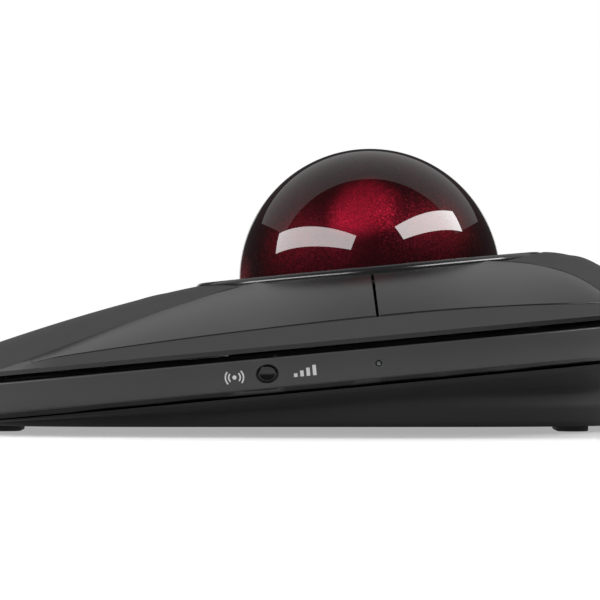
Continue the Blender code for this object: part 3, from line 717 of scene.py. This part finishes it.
def band_loops(inset, lower, upper, thickness, edge):
    """The loops of a band that follows the body's outline, its outer corners rounded."""
    section = [(inset + thickness, lower)]
    for k in range(5):
        a = math.radians(90 * k / 4)
        section.append((inset + edge * (1 - math.sin(a)), lower + edge * (1 - math.cos(a))))
    for k in range(5):
        a = math.radians(90 * k / 4)
        section.append((inset + edge * (1 - math.cos(a)), upper - edge * (1 - math.sin(a))))
    section.append((inset + thickness, upper))
    return [[(x, v, w) for x, v in body_outline(i)] for i, w in section]


def make_band():
    band = piece("side_band_fine", loft(band_loops(0, 0, BAND_HEIGHT, 2.0, 0.35), True), "casing",
                 MATERIALS["band"], ("side_band",))
    combine(band, rod(SIDE_HOLE_R, -4, 4, 64), "DIFFERENCE", sideways(HALF_WIDTH, SIDE_BUTTON_V) @ OVAL)
    combine(band, rod(LIGHT_HOLE_R, -4, 4, 32), "DIFFERENCE", sideways(HALF_WIDTH, SIDE_LIGHT_V))
    band.data.set_sharp_from_angle(angle=math.radians(38))


def make_side_button():
    """A round stem with a flange inside the band, and a shallow dish in its face."""
    stem = [(0, -4.0), (0.9, -4.0), (0.9, -2.6), (2.4, -2.6), (2.4, -2.25), (1.95, -2.25), (1.95, -0.5)]
    shoulder = [(1.55 + 0.4 * math.cos(a), -0.5 + 0.38 * math.sin(a)) for a in spread(0.2, 1.4, 6)]
    dish = [(r, -0.12 - 0.14 * (1 - (r / 1.55) ** 2)) for r in spread(1.5, 0.0, 8)]
    button_shape = turned(stem + shoulder + dish, 64, closed=False)
    place = sideways(SIDE_FACE_X, SIDE_BUTTON_V) @ OVAL
    piece("side_button_fine", button_shape, "side_button", MATERIALS["black"],
          ("side_button",), place)


def mark(name, outlines):
    """Printed marks on the band's right side: each outline is a strip of (v, w) point pairs."""
    bm = bmesh.new()
    for strip in outlines:
        ends = []
        for a, b in strip:
            lift = [(half_width(v) + h, v, w) for v, w in (a, b) for h in (0.005, MARK_THICK)]
            ends.append([bm.verts.new(p) for p in lift])
        for p, q in zip(ends, ends[1:]):
            for i, j in ((0, 1), (1, 3), (3, 2), (2, 0)):
                bm.faces.new((p[i], p[j], q[j], q[i]))
        for end in (ends[0], ends[-1]):
            bm.faces.new((end[0], end[1], end[3], end[2]))
    piece(name, bm, "casing", MATERIALS["print"])


def arc_strip(v, w, radius, width, start, stop, count=16):
    strip = []
    for a in spread(math.radians(start), math.radians(stop), count):
        strip.append(tuple((v + r * math.cos(a), w + r * math.sin(a)) for r in (radius, radius + width)))
    return strip


def make_marks():
    centre_v, centre_w = -29.3, 2.85
    waves = [arc_strip(centre_v, centre_w, r, 0.28, a - 42, a + 42) for r in (1.0, 1.65) for a in (0, 180)]
    dot = [arc_strip(centre_v, centre_w, 0.0005, 0.42, 0, 359.9, 24)]
    mark("radio_mark", waves + dot)
    bars = []
    for k in range(4):
        v, height = -17.6 + 1.25 * k, 0.7 + 0.45 * k
        bars.append([((v, 1.85), (v, 1.85 + height)), ((v + 0.7, 1.85), (v + 0.7, 1.85 + height))])
    mark("signal_mark", bars)


# Base, feet and screws


def top_plane_z(y, w=-GROOVE):
    """World height of the slab's plane w at a distance y behind the ball's axis."""
    return SLAB_Z + (w + (y + BALL_Y - SLAB_Y) * SIN) / COS


def base_loops(count=300):
    """The base's loops from the desk side up: foot line, plinth, finger grip, lip and top."""
    half_y, mid_y = (BASE_REAR - BASE_FRONT) / 2, (BASE_REAR + BASE_FRONT) / 2
    loops = []
    for name, inset in BASE_INSETS.items():
        loop = []
        for x, y in superellipse(BASE_HALF_WIDTH - inset, half_y - inset, mid_y, OUTLINE_POWER, count):
            top = top_plane_z(y)
            height = top - BASE_Z
            plinth = BASE_Z + min(PLINTH, 0.5 * height)
            lip = top - min(1.0, 0.2 * height)
            z = {
                "bottom": BASE_Z,
                "edge": BASE_Z + min(0.7, 0.15 * height),
                "plinth": plinth,
                "grip": plinth + GRIP_LEVEL * (lip - plinth),
                "lip": lip,
                "top": top,
            }[name]
            if name == "grip":
                along_side = min(1.0, max(0.0, (y - GRIP_START) / (GRIP_FULL - GRIP_START)))
                off_middle = min(1.0, max(0.0, (abs(x) - GRIP_INNER_X) / (GRIP_OUTER_X - GRIP_INNER_X)))
                off_middle *= off_middle * (3 - 2 * off_middle)
                x -= math.copysign(GRIP_DEPTH * along_side * off_middle, x)
            loop.append((x, BALL_Y + y, z))
        loops.append(loop)
    return rounded_loops(loops)


def rounded_loops(loops, radius=0.7, steps=5):
    """The same stack of loops with each corner between the first and the last rounded."""
    columns = []
    for column in zip(*loops):
        points = [Vector(p) for p in column]
        rounded = [points[0]]
        for before, corner, after in zip(points, points[1:], points[2:]):
            back, on = before - corner, after - corner
            start = corner + back.normalized() * min(radius, 0.45 * back.length)
            stop = corner + on.normalized() * min(radius, 0.45 * on.length)
            for t in spread(0, 1, steps):
                rounded.append(start * (1 - t) ** 2 + corner * 2 * t * (1 - t) + stop * t * t)
        columns.append(rounded + [points[-1]])
    return list(zip(*columns))


def screw_place(name):
    x, y = SCREW_PLACES[name]
    return Matrix.Translation((x, BALL_Y + y, 0))


def rounded_port(grow, back, front):
    """The USB-C outline, grown all round, run along Y between two places."""
    half_x, half_z = USB_HALF[0] + grow, USB_HALF[1] + grow
    bm = rounded_box((-half_x, -half_z, back), (half_x, half_z, front), half_z - 0.02, 8)
    bm.transform(Matrix.Rotation(math.radians(-90), 4, "X"))
    return bm


def make_base():
    """The base with its hollow, screw posts and counterbores, inlet opening and mode switch slot."""
    base = piece("bottom_case_fine", loft(base_loops(), False), "casing", MATERIALS["base"],
                 ("bottom_case",), WORLD)
    pocket = superellipse(POCKET_HALF_X, POCKET_HALF_Y, POCKET_Y, 3.0, 128)
    hollow = loft([[(x, BALL_Y + y, z) for x, y in pocket] for z in (FLOOR_Z, 40)], False)
    combine(base, hollow, "DIFFERENCE", WORLD)
    for name in SCREW_PLACES:
        combine(base, rod(3.4, FLOOR_Z - 0.5, SCREW_JOINT_Z - 0.3), "UNION", screw_place(name))
        bore = [(0, 0), (2.75, 0), (2.75, 1.3), (2.5, 1.5), (2.5, 3.2), (1.5, 3.2), (1.5, 8), (0, 8)]
        combine(base, turned(bore, 48, closed=False), "DIFFERENCE", screw_place(name))
    port_at = Matrix.Translation((0, USB_Y, USB_Z))
    combine(base, rounded_port(0.25, -3, 9), "DIFFERENCE", port_at)
    slot = rounded_box((-5.2, -1.6, 0), (5.2, 1.6, 6), 1.5)
    combine(base, slot, "DIFFERENCE", Matrix.Translation((*MODE_PLACE, 0)))
    base.data.set_sharp_from_angle(angle=math.radians(30))
    rounding = base.modifiers.new("rounding", "BEVEL")
    rounding.limit_method = "ANGLE"
    rounding.angle_limit = math.radians(30)
    rounding.width = 0.25 * MM
    rounding.segments = 3
    rounding.harden_normals = True


def make_feet():
    half = FOOT_DEPTH / 2
    for name, (x, y, length) in FOOT_PLACES.items():
        foot = rounded_box((-length / 2, -half, 0.0), (length / 2, half, BASE_Z - 0.05), half - 0.05, 12)
        node = f"{name}_foot"
        piece(node + "_fine", foot, "casing", MATERIALS["rubber"], (node,),
              Matrix.Translation((x, BALL_Y + y, 0)), bevel=0.3)


def make_screws():
    """Pan-head case screws with a cross recess."""
    head = [(0, 1.5), (1.9, 1.5), (2.1, 1.62), (2.2, 1.85), (2.2, 2.9), (1.15, 2.9)]
    thread = []
    for k in range(12):
        z = 3.1 + 0.5 * k
        thread += [(0.9, z), (1.15, z + 0.25)]
    tip = [(0.9, 9.2), (0, 9.4)]
    for name in SCREW_PLACES:
        node = f"{name}_case_screw"
        shape = turned(head + thread + tip, 40, closed=False)
        screw = piece(node + "_fine", shape, "casing", MATERIALS["steel"], (node,),
                      screw_place(name))
        for x, y in ((1.3, 0.28), (0.28, 1.3)):
            combine(screw, box((-x, -y, 0), (x, y, 2.5)), "DIFFERENCE", screw_place(name))
        screw.data.set_sharp_from_angle(angle=math.radians(35))


# Carried-over CAD nodes

KEPT = {
    "black": ("chassis", "ball_cup"),
    "ceramic": tuple(f"{place}_support_ball" for place in ("rear", "front_left", "front_right")),
    "component": (
        "side_button_switch", "controller_chip", "usb_c_tongue", "mode_switch_slider",
        *(f"{place}_support_seat" for place in ("rear", "front_left", "front_right")),
        *(f"{hand}_optical_sensor" for hand in ("left", "right")),
        *(f"{end}_{hand}_switch" for end in ("front", "rear") for hand in ("left", "right")),
    ),
    "plunger": (
        "side_button_plunger",
        *(f"{end}_{hand}_plunger" for end in ("front", "rear") for hand in ("left", "right")),
    ),
    "board": (
        "side_button_board", "main_board",
        *(f"{hand}_{board}" for hand in ("left", "right") for board in ("sensor_board", "switch_board")),
    ),
    "clear": ("left_sensor_lens", "right_sensor_lens", "status_led", "status_light_pipe"),
    "foil": ("battery",),
    "steel": ("radio_module", "usb_c_socket", "mode_switch_body"),
}


def finish_kept_nodes():
    """Gives each CAD node that still shows its material, joined faces and rounded edges."""
    for key, names in KEPT.items():
        for name in names:
            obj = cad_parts[name]
            obj.data.materials.clear()
            obj.data.materials.append(MATERIALS[key])
            obj.data.shade_smooth()
            weld = obj.modifiers.new("weld", "WELD")
            weld.merge_threshold = 0.000005
            rounding = obj.modifiers.new("rounding", "BEVEL")
            rounding.limit_method = "ANGLE"
            rounding.angle_limit = math.radians(40)
            rounding.width = 0.00008
            rounding.segments = 2
            rounding.harden_normals = True


# Stage


def make_floor():
    """A pale disc that gives off more light far from the object, so that it fades into the background."""
    bm = bmesh.new()
    bmesh.ops.create_circle(bm, cap_ends=True, radius=FLOOR_RADIUS, segments=96)
    mesh = bpy.data.meshes.new("floor")
    bm.to_mesh(mesh)
    bm.free()
    material, tree, shader = new_material("floor_white", Roughness=0.9, Specular_IOR_Level=0.0)
    shader.inputs["Base Color"].default_value = (0.46, 0.46, 0.46, 1)
    shader.inputs["Emission Color"].default_value = (1, 1, 1, 1)
    place = add_node(tree, "ShaderNodeTexCoord").outputs["Object"]
    away = add_node(tree, "ShaderNodeVectorMath", {0: place}, operation="LENGTH").outputs["Value"]
    ends = dict(zip(("From Min", "From Max", "To Min", "To Max"), FLOOR_FADE + FLOOR_GLOW))
    glow = add_node(tree, "ShaderNodeMapRange", {"Value": away, **ends})
    tree.links.new(glow.outputs[0], shader.inputs["Emission Strength"])
    mesh.materials.append(material)
    floor = bpy.data.objects.new("floor", mesh)
    bpy.context.scene.collection.objects.link(floor)
    return floor


def panel(name, left, right, height, radiance):
    """A rectangular area light between the middles of its two upright ends, facing the ball.

    Its ends are in metres from the ball's centre."""
    aim = Vector((0, BALL_Y, BALL_Z)) * MM
    left, right = Vector(left), Vector(right)
    away = ((left + right) / 2).normalized()
    across = (right - left) - away * (right - left).dot(away)
    width = across.length
    across.normalize()
    light = bpy.data.lights.new(name, "AREA")
    light.shape = "RECTANGLE"
    light.size, light.size_y = width, height
    light.energy = radiance * math.pi * width * height
    obj = bpy.data.objects.new(name, light)
    bpy.context.scene.collection.objects.link(obj)
    turn = Matrix((across, away.cross(across), away)).transposed().to_4x4()
    obj.matrix_world = Matrix.Translation(aim + (left + right) / 2) @ turn
    return obj


def ceiling(name, reach_x, reach_y, radiance):
    """A level area light CEILING above the ball's centre, spanning two ranges in metres from it."""
    light = bpy.data.lights.new(name, "AREA")
    light.shape = "RECTANGLE"
    light.size, light.size_y = reach_x[1] - reach_x[0], reach_y[1] - reach_y[0]
    light.energy = radiance * math.pi * light.size * light.size_y
    obj = bpy.data.objects.new(name, light)
    bpy.context.scene.collection.objects.link(obj)
    obj.location = (sum(reach_x) / 2, sum(reach_y) / 2 + BALL_Y * MM, CEILING)


def link_light(light, floor, state):
    """Makes a light reach the floor only (INCLUDE) or all but the floor (EXCLUDE)."""
    receivers = bpy.data.collections.new(f"{light.name}_receivers")
    receivers.objects.link(floor)
    receivers.collection_objects[0].light_linking.link_state = state
    light.light_linking.receiver_collection = receivers


def make_lights(floor):
    """Two soft panels in front, a ceiling behind, and a light that casts the floor's soft shadow."""
    lights = {name: panel(name, *settings) for name, settings in PANELS.items()}
    link_light(lights["left_front"], floor, "EXCLUDE")
    link_light(lights["right_front"], floor, "EXCLUDE")
    link_light(lights["floor_wash"], floor, "INCLUDE")
    lights["floor_wash"].visible_camera = False
    ceiling("overhead", (-2.0, -0.12), (-1.7, 1.7), 0.45)
    world = bpy.data.worlds.new("studio")
    bpy.context.scene.world = world
    world.use_nodes = True
    tree = world.node_tree
    background = tree.nodes["Background"]
    background.inputs["Strength"].default_value = 1.0
    path = add_node(tree, "ShaderNodeLightPath").outputs["Is Camera Ray"]
    tree.links.new(
        ramp(tree, path, 0.0, 1.0, (0.05, 0.05, 0.05), (1.0, 1.0, 1.0)), background.inputs["Color"]
    )


def make_camera():
    camera = bpy.data.cameras.new("camera")
    camera.lens = CAMERA_LENS
    camera.clip_start = 0.01
    obj = bpy.data.objects.new("camera", camera)
    bpy.context.scene.collection.objects.link(obj)
    obj.location = CAMERA_AT
    obj.rotation_euler = (math.radians(90), 0, math.radians(90))
    bpy.context.scene.camera = obj


bpy.context.scene.view_settings.view_transform = "Standard"
MATERIALS = make_materials()
make_camera()
make_lights(make_floor())
make_covers()
make_ball()
make_ring()
make_band()
make_side_button()
make_marks()
make_base()
make_feet()
make_screws()
finish_kept_nodes()
